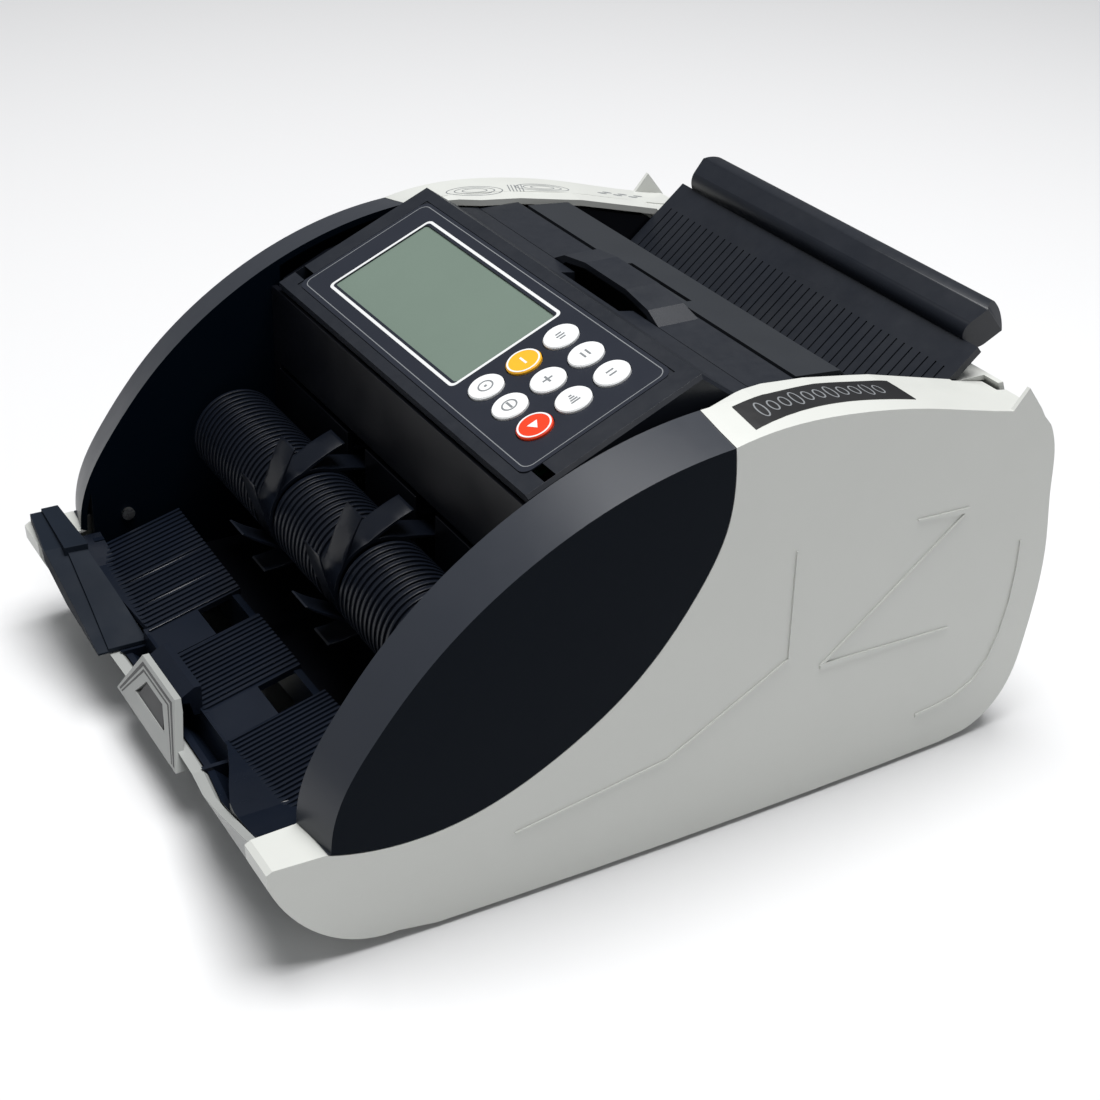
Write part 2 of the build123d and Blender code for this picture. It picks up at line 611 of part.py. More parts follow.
def panel_housing():
    profile = [(-51.8, 138.1), (-50.6, 134.4), (27, 146.5), (35.7, 146.5), (35.7, 155.0), (27.4, 156.4),
               (12.4, 166.9)]
    inner = [(-46.5, 137.8), (26, 149), (33.4, 149), (33.4, 152.8), (26.5, 154.0), (12.0, 164.2)]
    block = prism(profile, -BOX_HALF, BOX_HALF)
    vertical = block.edges().filter_by(lambda e: abs(e.center().X) > BOX_HALF - 0.1 and e.center().Z > 139)
    block = chamfer(vertical, 1.2)
    block -= prism(inner, -BOX_HALF + 2.2, BOX_HALF - 2.2)
    block -= box(-96, 96, -45, 32, 120, 143)
    block -= box(-20.2, 20.2, 29.6, 40, 140, 170)
    notch = box(95.9, 99, 27.0, 40, 120, 170)
    block -= notch + mirrored(notch)
    cut = box(-FILM_W / 2 - 0.3, FILM_W / 2 + 0.3, -0.3, FILM_H + 0.3, -0.5, 5)
    block -= on_panel(cut)
    block -= display_block(0.2, -9, 5)
    for x, s in key_centres():
        block -= on_panel(Pos(x, s, 0) * Cylinder(KEY_D / 2 + GAP, 20))
    return block


def panel_film():
    film = Pos(0, FILM_H / 2, -0.25) * extrude(RectangleRounded(FILM_W, FILM_H, 4), amount=0.25, both=True)
    window = extrude(RectangleRounded(LCD_W - 1.6, LCD_H - 1.6, 1.5), amount=3, both=True)
    film -= Pos(LCD_C[0], LCD_C[1], 0) * window
    for x, s in key_centres():
        film -= Pos(x, s, 0) * Cylinder(KEY_D / 2 + GAP, 6)
    return on_panel(film)


def display():
    return display_block(0, -4.5, -0.6)


def key(x, s):
    cap = Pos(x, s, -0.8) * Cylinder(KEY_D / 2, 3.6)
    cap = chamfer(cap.edges().group_by(Axis.Z)[-1], 0.4)
    return on_panel(cap)


def keypad_board():
    x0, x1 = 26, 82
    board = box(x0, x1, 6, 56, -8.6, -7.0)
    return on_panel(board)


def key_switches():
    return [on_panel(Pos(x, s, -5.2) * Cylinder(3.2, 3.4)) for x, s in key_centres()]


# ---------------------------------------------------------------- top and hopper
def access_cover():
    """Hinged strip behind the panel with an arched finger grip."""
    y_axis, z_axis = COVER_AXIS
    strip = box(-95.2, 95.2, COVER_Y0, y_axis, 152.5, 154.9)
    strip += rod(-95.2, 95.2, y_axis, z_axis, 2.0)
    arch = prism_xz([(-37, 154.5), (-29, 158.6), (-14, 161.0), (14, 161.0), (29, 158.6), (37, 154.5)],
                    COVER_Y0, y_axis)
    arch &= prism([(30, 150), (30, 162), (49.8, 161.5), (53.0, 155.2), (53.0, 150)], -40, 40)
    hollow = prism_xz([(-33, 152), (-28, 156.2), (-14, 158.6), (14, 158.6), (28, 156.2), (33, 152)],
                      COVER_Y0 - 1, y_axis - 4)
    strip += arch
    strip -= hollow
    strip -= rod(-96, -85, y_axis, z_axis, 1.05) + rod(85, 96, y_axis, z_axis, 1.05)
    return strip


def hinge_pins():
    y, z = COVER_AXIS
    return [rod(-103.6, -86, y, z, 1.0), rod(86, 103.6, y, z, 1.0)]


def hopper_front():
    """Front wall of the hopper: flat top strip and a wall dropping to the feed throat."""
    wall = prism([(55.8, 154.8), (75.0, 153.2), (77.2, 151), (77.2, 117), (74.7, 117), (74.7, 150.6),
                  (58, 152.0), (58, 130), (55.8, 130)], -90.6, 90.6)
    wall -= box(-20.3, 20.3, 59.0, 61.2, 148, 170)
    for side in (-1, 1):
        wall += box(side * 95.2 - 5.0, side * 95.2 + 5.0, 56.2, 58.2, 131, 149)
    return wall


def side_liner():
    """Black inner wall beside the panel and the hopper."""
    roof = [(-47, 136.2), (-28.5, 145), (5, 152.6), (28, 153.6), (55, 152.4), (84, 147.6), (118, 138.6)]
    wall = prism(roof + [(121, 134), (121, 20), (60, 20), (-46, 100)], 100.6, 103.6)
    flange = prism([(-47, 134.6), (5, 145.6), (30, 147.0), (30, 145.0), (5, 143.6), (-47, 132.6)], 97.9, 101)
    rim = [(60, 150.0), (84, 147.6), (118, 138.6)]
    hopper_wall = prism(rim + [(121, 137.0), (121, 96), (60, 96)], 95.2, 97.2)
    bridge = prism(rim + [(y, z - 2.0) for y, z in reversed(rim)], 96, 102)
    part = wall + flange + hopper_wall + bridge
    for y, z in SHAFTS.values():
        part -= rod(90, 110, y, z, 7.5)
    part -= rod(90, 110, *COVER_AXIS, 1.05)
    for y, z in TIE_RODS:
        part -= rod(90, 110, y, z, 4.5)
    part -= rod(90, 110, MOTOR_Y, MOTOR_Z, 14)
    return part


LIP_PLAN = [(-84.4, 18.5), (84.4, 18.5), (89.4, 12.5), (86, -1), (-86, -1), (-89.4, 12.5)]


def hopper_plate():
    """Leaning back plate of the hopper with fine grooves and a rounded top lip."""
    plate = plate_prism(0, 80.5, -3.0, 0, -94, 94)
    lip = plate_prism(-18, 0.5, -8.5, 4.5, -90, 90)
    lip = fillet(lip.edges().filter_by(Axis.X), 5.8)
    plate += lip & on_plate(prism_xy(LIP_PLAN, -20, 20))
    for i in range(-20, 21):
        x = i * GROOVE_PITCH
        plate -= plate_prism(12, 78, -0.6, 1, x - 0.35, x + 0.35)
    for side in (-1, 1):
        x = side * ROLLER_X
        plate -= plate_prism(50, 81, -5, 2, x - 10.2, x + 10.2)
    return plate


# ---------------------------------------------------------------- rear and electrics
def rear_panel():
    profile = [(REAR_IN, 7), (REAR_IN, 120), (139.5, 139.6), (142.0, 139.6), (REAR_OUT, 120), (REAR_OUT, 7)]
    wall = prism(profile, -101.5, 101.5)
    wall += box(-94, 94, 126.2, 141, 137.6, 139.6)
    for (x, z), half_w, half_h in ((INLET, 13.7, 10.2), (SWITCH, 10.4, 7.2)):
        wall -= box(x - half_w, x + half_w, REAR_IN - 5, REAR_OUT + 5, z - half_h, z + half_h)
    for i in range(9):
        z = 70 + i * 5
        wall -= box(-50, 50, REAR_IN - 5, REAR_OUT + 5, z, z + 2)
    return wall


def panel_block(centre, half_w, half_h, y0, y1):
    """Block centred on a rear panel opening, between two distances from the outer face."""
    x, z = centre
    return box(x - half_w, x + half_w, REAR_OUT + y0, REAR_OUT + y1, z - half_h, z + half_h)


def mains_inlet():
    body = panel_block(INLET, 13.5, 10, -25, 1.6)
    body += panel_block(INLET, 16, 12.5, 0, 1.6)
    body -= panel_block(INLET, 11.5, 8, -15, 2)
    body += panel_block(INLET, 9, 5.5, -16, -0.2)
    return body


def switch_frame():
    frame = panel_block(SWITCH, 10.2, 7, -17, 1.4)
    frame += panel_block(SWITCH, 12, 8.8, 0, 1.4)
    frame -= panel_block(SWITCH, 8.8, 5.6, -13, 2)
    frame -= Pos(SWITCH[0], ROCKER_Y, SWITCH[1]) * Cylinder(1.05, 18)
    return frame


def power_rocker():
    """See-saw actuator on a vertical pin, resting in its off position."""
    x, z = SWITCH
    plan = [(-8.3, 2.0), (0, 4.0), (8.3, 2.0), (6.5, -3.0), (-6.5, -3.0)]
    body = Rot(0, 0, -ROCKER_TILT) * prism_xy(plan, z - 5.2, z + 5.2)
    pin = Pos(x, ROCKER_Y, z) * Cylinder(1.0, 13.6)
    return Pos(x, ROCKER_Y, 0) * body + pin


def transformer():
    core = box(0, 52, 60, 98, BASE_Z + SKIN, 48)
    coil = box(-7, 59, 66, 92, 14, 42)
    return core + coil


def main_board():
    board = box(-30, 80, -44, 50, 14.0, 15.6)
    for x, y in BOARD_HOLES:
        board -= Pos(x, y, 15) * Cylinder(1.7, 6)
    return board


BOARD_HOLES = [(-25, -39), (75, -39), (-25, 45), (75, 45)]


def board_components():
    chips = [box(0, 22, -20, 2, 15.6, 18), box(40, 52, -30, -18, 15.6, 26), box(60, 74, 10, 20, 15.6, 22),
             box(-20, -8, 20, 44, 15.6, 24)]
    chips += [Pos(x, -5, 22.6) * Cylinder(5, 14) for x in (58, 71)]
    return chips


def base_screws():
    heads = []
    for x in (-60, 60):
        for y in (-40, 100):
            heads.append(Pos(x, y, BASE_Z - 0.6) * Cylinder(3.2, 1.2))
    return heads


def chamber_screws():
    parts = []
    for side in (-1, 1):
        x0, x1 = side * (BAND_IN - 1.4), side * (BAND_IN + SKIN + 1)
        head = rod(min(x0, side * BAND_IN), max(x0, side * BAND_IN), *CHAMBER_SCREW, 2.6)
        stem = rod(min(side * BAND_IN, x1), max(side * BAND_IN, x1), *CHAMBER_SCREW, 1.5)
        parts.append(head + stem)
    return parts


# ---------------------------------------------------------------- assembly
def build():
    shell = side_shell()
    cover = side_cover(shell)
    front_wing = wing(shell)
    tray = stacker_tray() - stop_space()
    liner = side_liner()
    nodes = {
        "side_cover_right": cover,
        "side_cover_left": mirrored(cover),
        "wing_right": front_wing,
        "wing_left": mirrored(front_wing),
        "base_housing": base_housing(),
        "rubber_feet": feet(),
        "screws": base_screws() + chamber_screws(),
        "stacker_tray": tray,
        "stop_plate": stop_plate(),
        "chamber_back_wall": chamber_back(),
        "guide_drums": [drum(-98, -36), drum(-20.5, 20.5), drum(36, 98)],
        "stacking_wheel_left": stacking_wheel(-WHEEL_X),
        "stacking_wheel_right": stacking_wheel(WHEEL_X),
        "side_plate_left": side_plate(-1),
        "side_plate_right": side_plate(1),
        "tie_rods": tie_rods(),
        "shaft_bearings": bearings(),
        "main_belt": belt(-1, MAIN_BELT),
        "line_belt": belt(1, LINE_BELT),
        "drive_motor": motor(),
        "motor_pulley": motor_pulley(),
        "stacker_pulley": pulley(-1, STACK_Y, STACK_Z, PULLEY_R["stacker"]),
        "lower_guide": lower_guide(),
        "upper_guide": upper_guide(),
        "retard_bracket": retard_bracket(),
        "retard_rollers": retard_rollers(),
        "encoder_disc": encoder_disc(),
        "encoder_sensor": encoder_sensor(),
        "panel_housing": panel_housing(),
        "panel_film": panel_film(),
        "display": display(),
        "keypad_board": [keypad_board()] + key_switches(),
        "access_cover": access_cover(),
        "cover_hinge_pins": hinge_pins(),
        "hopper_front": hopper_front(),
        "inner_wall_right": liner,
        "inner_wall_left": mirrored(liner),
        "hopper_plate": hopper_plate(),
        "rear_panel": rear_panel(),
        "mains_inlet": mains_inlet(),
        "switch_frame": switch_frame(),
        "power_rocker": power_rocker(),
        "transformer": transformer(),
        "main_board": [main_board()] + board_components(),
    }
    for name in SHAFTS:
        nodes[name + "_shaft"] = rod(-SHAFT_END, SHAFT_END, *SHAFTS[name], SHAFT_R)
    for number, (x, s) in enumerate(key_centres(), 1):
        nodes["key_%d" % number] = key(x, s)
    for name, radius in (("transport", ROLLER_R), ("feed", FEED_R), ("pickup", PICK_R)):
        y, z = SHAFTS[name]
        parts = roller_pair(y, z, radius, SHAFT_R + SHAFT_FIT)
        parts.append(pulley(1, y, z, PULLEY_R["line"]))
        nodes[name + "_rollers"] = parts
    return nodes


def main():
    os.makedirs("parts", exist_ok=True)
    for name, shape in build().items():
        if isinstance(shape, list):
            shape = Compound(children=shape)
        export_step(shape, "parts/" + name + ".step")


if __name__ == "__main__":
    main()
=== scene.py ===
import json
import math

import bmesh
import bpy
from mathutils import Matrix, Vector


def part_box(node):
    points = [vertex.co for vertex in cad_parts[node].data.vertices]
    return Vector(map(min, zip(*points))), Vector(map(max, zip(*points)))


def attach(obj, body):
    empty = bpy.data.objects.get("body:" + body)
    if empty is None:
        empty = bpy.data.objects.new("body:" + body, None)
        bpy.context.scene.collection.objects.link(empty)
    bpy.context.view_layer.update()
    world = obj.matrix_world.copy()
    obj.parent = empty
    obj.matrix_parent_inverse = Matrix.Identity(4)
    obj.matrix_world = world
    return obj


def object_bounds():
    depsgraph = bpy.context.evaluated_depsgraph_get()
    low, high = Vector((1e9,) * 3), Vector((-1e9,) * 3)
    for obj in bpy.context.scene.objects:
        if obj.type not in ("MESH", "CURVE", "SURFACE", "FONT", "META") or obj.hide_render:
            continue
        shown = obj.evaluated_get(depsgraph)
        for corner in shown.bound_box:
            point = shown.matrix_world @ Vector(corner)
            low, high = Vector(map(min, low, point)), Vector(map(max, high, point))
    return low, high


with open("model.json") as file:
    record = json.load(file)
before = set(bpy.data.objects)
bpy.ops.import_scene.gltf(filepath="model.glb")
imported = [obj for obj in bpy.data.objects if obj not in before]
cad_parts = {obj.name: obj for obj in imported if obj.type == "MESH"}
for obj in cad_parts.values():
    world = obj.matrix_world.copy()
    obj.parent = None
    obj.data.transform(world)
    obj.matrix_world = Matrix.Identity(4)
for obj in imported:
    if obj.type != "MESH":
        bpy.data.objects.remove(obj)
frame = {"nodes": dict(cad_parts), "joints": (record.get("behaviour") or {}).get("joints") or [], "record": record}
cad_low, cad_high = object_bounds()
MM = 0.001
X_AXIS = Vector((1, 0, 0))
DUST_COLOR = (0.30, 0.31, 0.33, 1)

# ---------------------------------------------------------------- materials


def new_material(name):
    material = bpy.data.materials.new(name)
    material.use_nodes = True
    nodes = material.node_tree.nodes
    nodes.clear()
    out = nodes.new("ShaderNodeOutputMaterial")
    shader = nodes.new("ShaderNodeBsdfPrincipled")
    material.node_tree.links.new(shader.outputs["BSDF"], out.inputs["Surface"])
    return material, shader


def add(material, kind, **values):
    """A node with the given properties and input values."""
    node = material.node_tree.nodes.new("ShaderNode" + kind)
    for key, value in values.items():
        if hasattr(node, key):
            setattr(node, key, value)
        else:
            node.inputs[key.replace("_", " ")].default_value = value
    return node


def join(material, source, output, target, socket):
    material.node_tree.links.new(source.outputs[output], target.inputs[socket])


def spread(material, source, output, low, high, start=0.25, end=0.75):
    """Maps a node's output from start-end to low-high."""
    node = add(material, "MapRange")
    node.inputs["From Min"].default_value = start
    node.inputs["From Max"].default_value = end
    node.inputs["To Min"].default_value = low
    node.inputs["To Max"].default_value = high
    join(material, source, output, node, "Value")
    return node


def noise(material, place, scale, detail=3.0, roughness=0.55):
    node = add(material, "TexNoise", Scale=scale, Detail=detail, Roughness=roughness)
    join(material, place, "Object", node, "Vector")
    return node


def blend_color(material, factor, first, second):
    """Mix of two colours by a node's Result output."""
    node = add(material, "Mix", data_type="RGBA")
    node.inputs[6].default_value = (*first, 1)
    node.inputs[7].default_value = (*second, 1)
    join(material, factor, "Result", node, "Factor")
    return node


def add_bump(material, source, height):
    """Bump of a height in millimetres."""
    bump = add(material, "Bump", Strength=1.0, Distance=height * MM)
    join(material, source, "Fac", bump, "Height")
    return bump


def plastic(name, color, roughness, grain=0.0, grain_size=0.6, mottle=0.04, specular=0.5, dust=0.0,
            side=None):
    """Moulded plastic: slight colour drift, uneven gloss, fine grain and light dust on top.

    A side colour of painted shade is used, with almost no gloss, for the faces that look sideways."""
    material, shader = new_material(name)
    place = add(material, "TexCoord")
    drift = spread(material, noise(material, place, 22.0, 4.0, 0.6), "Fac", 0.0, 1.0)
    dark = [c * (1 - mottle) for c in color]
    light = [min(1.0, c * (1 + mottle)) for c in color]
    tone = blend_color(material, drift, dark, light)
    color_out = tone
    if dust:
        color_out = add_dust(material, place, tone, dust)
    shader.inputs["Specular IOR Level"].default_value = specular
    # painted shade: faces that look along X take the darker side colour
    if side:
        color_out = add_painted_side_shade(material, place, color_out, side, specular, shader)
    material.node_tree.links.new(color_out.outputs[2], shader.inputs["Base Color"])
    gloss = spread(material, noise(material, place, 60.0, 5.0), "Fac", roughness * 0.85,
                   min(1.0, roughness * 1.15))
    join(material, gloss, "Result", shader, "Roughness")
    bump = add_bump(material, noise(material, place, 1.0 / (grain_size * MM), 2.0), grain)
    join(material, bump, "Normal", shader, "Normal")
    return material


def add_painted_side_shade(material, place, tone, side, specular, shader):
    """Painted shade: a second colour and a weak reflection on faces that look along X."""
    split = add(material, "SeparateXYZ")
    join(material, place, "Normal", split, "Vector")
    across = add(material, "Math", operation="ABSOLUTE")
    join(material, split, "X", across, 0)
    facing = spread(material, across, "Value", 0.0, 1.0, 0.5, 0.8)
    shine = spread(material, across, "Value", specular, 0.05, 0.5, 0.8)
    join(material, shine, "Result", shader, "Specular IOR Level")
    mix = add(material, "Mix", data_type="RGBA")
    join(material, facing, "Result", mix, "Factor")
    material.node_tree.links.new(tone.outputs[2], mix.inputs[6])
    mix.inputs[7].default_value = (*side, 1)
    return mix


def add_dust(material, place, tone, amount):
    """Thin pale dust on faces that look up, broken up by noise."""
    up = add(material, "SeparateXYZ")
    join(material, place, "Normal", up, "Vector")
    facing = spread(material, up, "Z", 0.0, amount, 0.55, 1.0)
    specks = spread(material, noise(material, place, 240.0, 6.0, 0.7), "Fac", 0.4, 1.0, 0.35, 0.65)
    cover = add(material, "Math", operation="MULTIPLY")
    join(material, facing, "Result", cover, 0)
    join(material, specks, "Result", cover, 1)
    mix = add(material, "Mix", data_type="RGBA")
    join(material, cover, "Value", mix, "Factor")
    material.node_tree.links.new(tone.outputs[2], mix.inputs[6])
    mix.inputs[7].default_value = DUST_COLOR
    return mix


def metal(name, color, roughness, stretch=(1.0, 1.0, 1.0), grain=0.004):
    """Steel with fine brushing along one axis."""
    material, shader = new_material(name)
    place = add(material, "TexCoord")
    turn = add(material, "Mapping", Scale=stretch)
    join(material, place, "Object", turn, "Vector")
    brush = add(material, "TexNoise", Scale=900.0, Detail=3.0)
    join(material, turn, "Vector", brush, "Vector")
    tone = blend_color(material, spread(material, brush, "Fac", 0.0, 1.0), [c * 0.86 for c in color],
                       [min(1.0, c * 1.1) for c in color])
    material.node_tree.links.new(tone.outputs[2], shader.inputs["Base Color"])
    shader.inputs["Metallic"].default_value = 1.0
    gloss = spread(material, brush, "Fac", roughness * 0.8, roughness * 1.25)
    join(material, gloss, "Result", shader, "Roughness")
    join(material, add_bump(material, brush, grain), "Normal", shader, "Normal")
    return material


COVER = plastic("cover_gray", (0.60, 0.61, 0.58), 0.38, grain=0.004, grain_size=0.9, mottle=0.012)
# painted shade: the base housing takes a darker copy of the cover plastic for the shaded front apron
COVER_PAINTED_SHADE = plastic("cover_gray_painted_shade", (0.33, 0.34, 0.33), 0.42, grain=0.005, grain_size=0.9, mottle=0.02)
# the side colour here is painted shade: sideways faces are kept far darker than the tops
GLOSS = plastic("gloss_black", (0.030, 0.034, 0.043), 0.34, grain=0.001, mottle=0.05, specular=0.30,
                side=(0.0012, 0.0034, 0.0072))
SATIN = plastic("satin_black", (0.0085, 0.0108, 0.0165), 0.40, grain=0.004, grain_size=0.5, mottle=0.12,
                specular=0.42, dust=0.02)
NAVY = plastic("navy_black", (0.0042, 0.0060, 0.0108), 0.36, grain=0.003, grain_size=0.5, mottle=0.12,
               specular=0.30)
TRAY = plastic("tray_navy", (0.0046, 0.0074, 0.0145), 0.30, grain=0.002, grain_size=0.5, mottle=0.12,
               specular=0.42)
# painted shade: a darker black for the chamber walls and the nose window, where shade falls inside
PAINTED_SHADE_BLACK = plastic("painted_shade_black", (0.0022, 0.0028, 0.0050), 0.34, grain=0.002, grain_size=0.6, mottle=0.10,
               specular=0.30)
STRIP = plastic("strip_black", (0.022, 0.025, 0.030), 0.40, grain=0.004, grain_size=0.5, mottle=0.08,
                specular=0.42)
MATTE = plastic("matte_navy", (0.0085, 0.0125, 0.0200), 0.62, grain=0.004, grain_size=0.5, mottle=0.12,
                specular=0.10)
RUBBER = plastic("rubber", (0.014, 0.014, 0.015), 0.72, grain=0.02, grain_size=0.4, mottle=0.15,
                 specular=0.3)
STEEL = metal("steel", (0.62, 0.62, 0.60), 0.30, stretch=(0.05, 1.0, 1.0))
CAN = metal("motor_metal", (0.42, 0.43, 0.45), 0.42, stretch=(0.2, 1.0, 1.0))
FILM = plastic("panel_film", (0.0165, 0.0195, 0.029), 0.30, grain=0.002, grain_size=0.35, mottle=0.05,
               specular=0.45)
LCD = plastic("lcd", (0.155, 0.205, 0.170), 0.16, grain=0.0, mottle=0.03, specular=0.5)
BOARD = plastic("circuit_board", (0.012, 0.12, 0.05), 0.35, grain=0.01, mottle=0.2)
KEY_WHITE = plastic("key_white", (0.80, 0.81, 0.81), 0.34, grain=0.002, mottle=0.012)
KEY_ORANGE = plastic("key_orange", (0.86, 0.42, 0.020), 0.34, grain=0.002, mottle=0.05)
KEY_RED = plastic("key_red", (0.74, 0.048, 0.012), 0.34, grain=0.002, mottle=0.05)
PRINT_WHITE = plastic("print_white", (0.70, 0.71, 0.71), 0.45, mottle=0.03)
PRINT_GRAY = plastic("print_gray", (0.20, 0.21, 0.22), 0.45, mottle=0.10)
PRINT_DARK = plastic("print_dark", (0.012, 0.012, 0.013), 0.38, grain=0.002, mottle=0.2)

SLOT_MATERIALS = {
    "cover_gray": COVER, "gloss_black": GLOSS, "black_plastic": SATIN, "rubber": RUBBER,
    "steel": STEEL, "motor_metal": CAN, "panel_film": FILM, "lcd": LCD, "circuit_board": BOARD,
    "key_white": KEY_WHITE, "key_orange": KEY_ORANGE, "key_red": KEY_RED,
}
OWN_MATERIALS = {
    "base_housing": COVER_PAINTED_SHADE, "chamber_back_wall": PAINTED_SHADE_BLACK, "inner_wall_left": PAINTED_SHADE_BLACK, "inner_wall_right": PAINTED_SHADE_BLACK,
    "panel_housing": SATIN, "hopper_front": STRIP, "stop_plate": MATTE, "stacker_tray": TRAY,
    "guide_drums": NAVY, "stacking_wheel_left": NAVY, "stacking_wheel_right": NAVY,
}


def paint_parts():
    for part in frame["record"]["subparts"]:
        name = part["node"]
        node = frame["nodes"][name]
        node.data.materials.clear()
        node.data.materials.append(OWN_MATERIALS.get(name, SLOT_MATERIALS[part["material_slot"]]))


# Width in millimetres of the round on each part's edges.
SOFT_EDGES = {
    "base_housing": 0.5, "stacker_tray": 0.2, "stop_plate": 0.5, "panel_housing": 0.5, "access_cover": 0.4,
    "hopper_front": 0.4,
    "hopper_plate": 0.25, "rear_panel": 0.3, "mains_inlet": 0.3, "switch_frame": 0.3, "power_rocker": 0.4,
    "stacking_wheel_left": 0.15, "stacking_wheel_right": 0.15, "guide_drums": 0.12, "chamber_back_wall": 0.3,
    "inner_wall_left": 0.3, "inner_wall_right": 0.3, "drive_motor": 0.5, "transformer": 0.5,
}


def soften_edges():
    """Small rounds on the sharp edges of the moulded parts."""
    for name, width in SOFT_EDGES.items():
        node = frame["nodes"][name]
        weld = node.modifiers.new("weld", "WELD")
        weld.merge_threshold = 0.00002
        bevel = node.modifiers.new("edge_round", "BEVEL")
        bevel.width = width * MM
        bevel.segments = 2
        bevel.limit_method = "ANGLE"
        bevel.angle_limit = math.radians(32)
        bevel.use_clamp_overlap = True
        bevel.harden_normals = True


# ---------------------------------------------------------------- piece building


class Piece:
    """Collects closed solids swept between pairs of outlines, then becomes one named object."""

    def __init__(self, place):
        self.place = place
        self.mesh = bmesh.new()

    def sweep(self, sections, closed):
        rings = [[self.mesh.verts.new(p) for p in section] for section in sections]
        pairs = list(zip(rings, rings[1:]))
        if closed:
            pairs.append((rings[-1], rings[0]))
        count = len(rings[0])
        for a, b in pairs:
            for i in range(count):
                j = (i + 1) % count
                self.mesh.faces.new((a[i], a[j], b[j], b[i]))
        if not closed:
            self.mesh.faces.new(rings[0])
            self.mesh.faces.new(list(reversed(rings[-1])))

    def band(self, first, second, low, high, closed=False, columns=1):
        """Solid between two lines of (u, v) points, from height low to height high."""
        sections = []
        for (u0, v0), (u1, v1) in zip(first, second):
            steps = [i / columns for i in range(columns + 1)]
            points = [(u0 + (u1 - u0) * t, v0 + (v1 - v0) * t) for t in steps]
            top = [self.place(u, v, high) for u, v in points]
            under = [self.place(u, v, low) for u, v in reversed(points)]
            sections.append(top + under)
        self.sweep(sections, closed)

    def ring(self, outer, inner, low, high):
        self.band(outer, inner, low, high, closed=True)

    def finish(self, name, material, body="chassis"):
        bmesh.ops.recalc_face_normals(self.mesh, faces=self.mesh.faces)
        data = bpy.data.meshes.new(name)
        self.mesh.to_mesh(data)
        self.mesh.free()
        made = bpy.data.objects.new(name, data)
        bpy.context.collection.objects.link(made)
        data.materials.append(material)
        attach(made, body)
        return made


def rounded_rectangle(u, v, width, height, radius, per_corner=8):
    points = []
    for turn, (su, sv) in enumerate(((1, 1), (-1, 1), (-1, -1), (1, -1))):
        for i in range(per_corner + 1):
            a = math.pi / 2 * (turn + i / per_corner)
            points.append((u + su * (width / 2 - radius) + radius * math.cos(a),
                           v + sv * (height / 2 - radius) + radius * math.sin(a)))
    return points


def circle(u, v, radius, count=48):
    return [(u + radius * math.cos(2 * math.pi * i / count), v + radius * math.sin(2 * math.pi * i / count))
            for i in range(count)]


def oval_halves(u, v, half_u, half_v, count=20):
    """Left and right half outlines of an oval, as matching lines."""
    left, right = [], []
    for i in range(count + 1):
        a = math.pi * (i / count) * 0.98 + 0.01 * math.pi
        across, along = half_u * math.sin(a), -half_v * math.cos(a)
        left.append((u - across, v + along))
        right.append((u + across, v + along))
    return left, right


def bar_halves(u, v, half_u, half_v):
    left = [(u - half_u, v - half_v), (u - half_u, v + half_v)]
    right = [(u + half_u, v - half_v), (u + half_u, v + half_v)]
    return left, right


def on_matrix(matrix):
    """Places (u, v, height) in millimetres on a plane given by a matrix."""
    return lambda u, v, h: matrix @ Vector((u * MM, v * MM, h * MM))


def draped_on(node_name):
    """Places (x, y) in millimetres on top of a CAD node, lifted by the height."""
    node = frame["nodes"][node_name]

    def place(u, v, h):
        start = Vector((u * MM, v * MM, cad_high.z + 0.05))
        hit, where, _, _ = node.ray_cast(start, Vector((0, 0, -1)))
        return where + Vector((0, 0, h * MM)) if hit else start
    return place


# ---------------------------------------------------------------- control panel
film_low, film_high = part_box("panel_film")
press = Vector(next(j["axis"] for j in frame["joints"] if j["name"] == "key_1_press"))
PANEL_OUT = -press.normalized()
PANEL_UP = PANEL_OUT.cross(X_AXIS)
FILM_T = 0.5 * MM
PANEL_ORIGIN = Vector((0, film_low.y, film_low.z + FILM_T * PANEL_OUT.z))
PANEL = Matrix.Translation(PANEL_ORIGIN) @ Matrix((X_AXIS, PANEL_UP, PANEL_OUT)).transposed().to_4x4()


def panel_point(world):
    """(u, v, height) in millimetres of a point, measured on the panel."""
    return (PANEL.inverted() @ world) / MM


def node_on_panel(name):
    low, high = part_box(name)
    return panel_point((low + high) / 2)


def make_panel_print():
    """White frame round the display and the thin outline of the film."""
    width = (film_high.x - film_low.x) / MM
    height = (film_high - film_low).yz.length / MM
    outline = Piece(on_matrix(PANEL))
    outline.ring(rounded_rectangle(0, height / 2, width - 3.2, height - 3.6, 3.6),
                 rounded_rectangle(0, height / 2, width - 3.9, height - 4.3, 3.3), -0.02, 0.05)
    outline.finish("panel_outline", PRINT_GRAY)
    low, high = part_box("display")
    wide = (high.x - low.x) / MM
    middle = node_on_panel("display")
    tall = (high - low).yz.length / MM - 1.0
    white = Piece(on_matrix(PANEL))
    white.ring(rounded_rectangle(middle.x, middle.y, wide + 1.2, tall + 1.2, 2.4),
               rounded_rectangle(middle.x, middle.y, wide - 1.2, tall - 1.2, 1.6), -0.02, 0.08)
    white.finish("display_frame", PRINT_WHITE)


